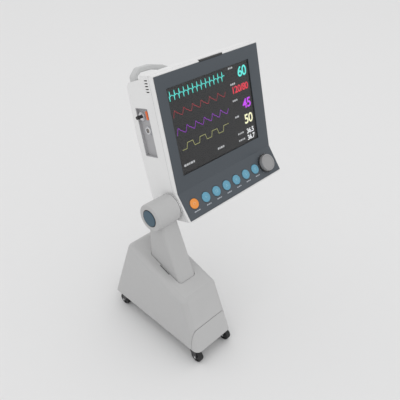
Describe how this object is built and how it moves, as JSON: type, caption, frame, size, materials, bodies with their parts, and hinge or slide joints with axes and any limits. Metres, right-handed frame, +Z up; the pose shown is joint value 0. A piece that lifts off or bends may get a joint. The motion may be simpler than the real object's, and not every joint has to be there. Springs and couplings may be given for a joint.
{
  "type": "patient monitor",
  "caption": "Bedside patient monitor with a colour display, front keys and a rotary knob, hinged at its lower left side on a narrow wheeled pedestal with swivel casters",
  "frame": {"origin": "bottom centre of the whole object's box, on the floor under the wheels", "axes": "+X to the viewer's right, +Y to the back, +Z up; the screen faces -Y and leans back"},
  "size_m": [0.4932, 0.367, 0.7309],
  "materials": {
    "case_white": "fine moulded texture",
    "slate": "satin dark blue grey",
    "cover_glass": "clear, anti-glare",
    "display": "dark display stack",
    "steel": "zinc plated",
    "key_orange": "moulded",
    "key_blue": "moulded",
    "circuit_board": "solder mask",
    "component": "moulded",
    "knob_grey": "satin",
    "recess_grey": "satin",
    "bright_metal": "polished",
    "black_plastic": "satin",
    "alarm_tint": "tinted",
    "handle_grey": "soft touch",
    "sink_metal": "bare",
    "battery": "moulded",
    "speaker_metal": "stamped",
    "insert_brass": "turned",
    "teal_cap": "satin",
    "pedestal_grey": "fine texture",
    "plate_paint": "powder coat",
    "iron": "as cast, painted",
    "caster_black": "black",
    "wheel_rubber": "moulded"
  },
  "bodies": {
    "base": {"base_cover": "pedestal_grey", "service_panel": "pedestal_grey", "slot_trim": "black_plastic", "base_plate": "plate_paint", "ballast": "iron", "caster_sockets": "steel", "mast_tube": "steel", "neck_shell": "pedestal_grey", "pivot_cap": "teal_cap", "pivot_block": "sink_metal", "pivot_bushes": "insert_brass"},
    "monitor": {"alarm_lens": "alarm_tint", "battery_door": "case_white", "battery_pack": "battery", "bracket_screws": "steel", "carry_handle": "handle_grey", "connector_tray": "recess_grey", "control_panel": "slate", "display_bracket": "steel", "encoder_body": "component", "flange_bolts": "steel", "friction_washer": "black_plastic", "heat_sink": "sink_metal", "hose_coupling": "bright_metal", "hose_nozzle": "black_plastic", "keypad_board": "circuit_board", "lcd_module": "display", "main_board": "circuit_board", "pivot_hub": "case_white", "pivot_nut": "steel", "pivot_shaft": "steel", "power_socket": "black_plastic", "power_unit": "sink_metal", "rear_case": "case_white", "rear_inserts": "insert_brass", "screen_bezel": "slate", "screen_glass": "cover_glass", "sensor_port": "bright_metal", "side_bracket": "steel", "speaker": "speaker_metal"},
    "power_key": {"power_key": "key_orange"},
    "release_tab": {"release_tab": "key_orange"},
    "knob_push": {"encoder_carrier": "component"},
    "knob": {"encoder_shaft": "steel", "control_knob": "knob_grey"},
    "menu_key_1": {"menu_key_1": "key_blue"},
    "menu_key_2": {"menu_key_2": "key_blue"},
    "menu_key_3": {"menu_key_3": "key_blue"},
    "menu_key_4": {"menu_key_4": "key_blue"},
    "menu_key_5": {"menu_key_5": "key_blue"},
    "menu_key_6": {"menu_key_6": "key_blue"},
    "caster_fl": {"caster_fork_fl": "caster_black"},
    "wheel_fl": {"wheel_fl": "wheel_rubber"},
    "caster_fr": {"caster_fork_fr": "caster_black"},
    "wheel_fr": {"wheel_fr": "wheel_rubber"},
    "caster_rl": {"caster_fork_rl": "caster_black"},
    "wheel_rl": {"wheel_rl": "wheel_rubber"},
    "caster_rr": {"caster_fork_rr": "caster_black"},
    "wheel_rr": {"wheel_rr": "wheel_rubber"}
  },
  "joints": [
    {"name": "tilt", "type": "hinge", "parent": "base", "child": "monitor", "pos_m": [-0.1786, 0.015, 0.388], "axis": [1, 0, 0], "range_deg": [-10, 15]},
    {"name": "power_key_press", "type": "slide", "parent": "monitor", "child": "power_key", "axis": [0, 0.788, -0.6157], "range_m": [0, 0.0015], "stiffness_N_per_m": 1200},
    {"name": "menu_key_1_press", "type": "slide", "parent": "monitor", "child": "menu_key_1", "axis": [0, 0.788, -0.6157], "range_m": [0, 0.0015], "stiffness_N_per_m": 1200},
    {"name": "menu_key_2_press", "type": "slide", "parent": "monitor", "child": "menu_key_2", "axis": [0, 0.788, -0.6157], "range_m": [0, 0.0015], "stiffness_N_per_m": 1200},
    {"name": "menu_key_3_press", "type": "slide", "parent": "monitor", "child": "menu_key_3", "axis": [0, 0.788, -0.6157], "range_m": [0, 0.0015], "stiffness_N_per_m": 1200},
    {"name": "menu_key_4_press", "type": "slide", "parent": "monitor", "child": "menu_key_4", "axis": [0, 0.788, -0.6157], "range_m": [0, 0.0015], "stiffness_N_per_m": 1200},
    {"name": "menu_key_5_press", "type": "slide", "parent": "monitor", "child": "menu_key_5", "axis": [0, 0.788, -0.6157], "range_m": [0, 0.0015], "stiffness_N_per_m": 1200},
    {"name": "menu_key_6_press", "type": "slide", "parent": "monitor", "child": "menu_key_6", "axis": [0, 0.788, -0.6157], "range_m": [0, 0.0015], "stiffness_N_per_m": 1200},
    {"name": "knob_press", "type": "slide", "parent": "monitor", "child": "knob_push", "axis": [0, 0.788, -0.6157], "range_m": [0, 0.0006], "stiffness_N_per_m": 4000},
    {"name": "knob_turn", "type": "hinge", "parent": "knob_push", "child": "knob", "pos_m": [0.1956, -0.02673, 0.39576], "axis": [0, -0.788, 0.6157], "continuous": true},
    {"name": "release_tab_press", "type": "slide", "parent": "monitor", "child": "release_tab", "axis": [1, 0, 0], "range_m": [0, 0.001], "stiffness_N_per_m": 1500},
    {"name": "swivel_fl", "type": "hinge", "parent": "base", "child": "caster_fl", "pos_m": [-0.2336, -0.154, 0.0175], "axis": [0, 0, 1], "continuous": true},
    {"name": "roll_fl", "type": "hinge", "parent": "caster_fl", "child": "wheel_fl", "pos_m": [-0.2336, -0.166, 0.0175], "axis": [1, 0, 0], "continuous": true},
    {"name": "swivel_fr", "type": "hinge", "parent": "base", "child": "caster_fr", "pos_m": [-0.1236, -0.154, 0.0175], "axis": [0, 0, 1], "continuous": true},
    {"name": "roll_fr", "type": "hinge", "parent": "caster_fr", "child": "wheel_fr", "pos_m": [-0.1236, -0.166, 0.0175], "axis": [1, 0, 0], "continuous": true},
    {"name": "swivel_rl", "type": "hinge", "parent": "base", "child": "caster_rl", "pos_m": [-0.2336, 0.135, 0.0175], "axis": [0, 0, 1], "continuous": true},
    {"name": "roll_rl", "type": "hinge", "parent": "caster_rl", "child": "wheel_rl", "pos_m": [-0.2336, 0.147, 0.0175], "axis": [1, 0, 0], "continuous": true},
    {"name": "swivel_rr", "type": "hinge", "parent": "base", "child": "caster_rr", "pos_m": [-0.1236, 0.135, 0.0175], "axis": [0, 0, 1], "continuous": true},
    {"name": "roll_rr", "type": "hinge", "parent": "caster_rr", "child": "wheel_rr", "pos_m": [-0.1236, 0.147, 0.0175], "axis": [1, 0, 0], "continuous": true}
  ]
}
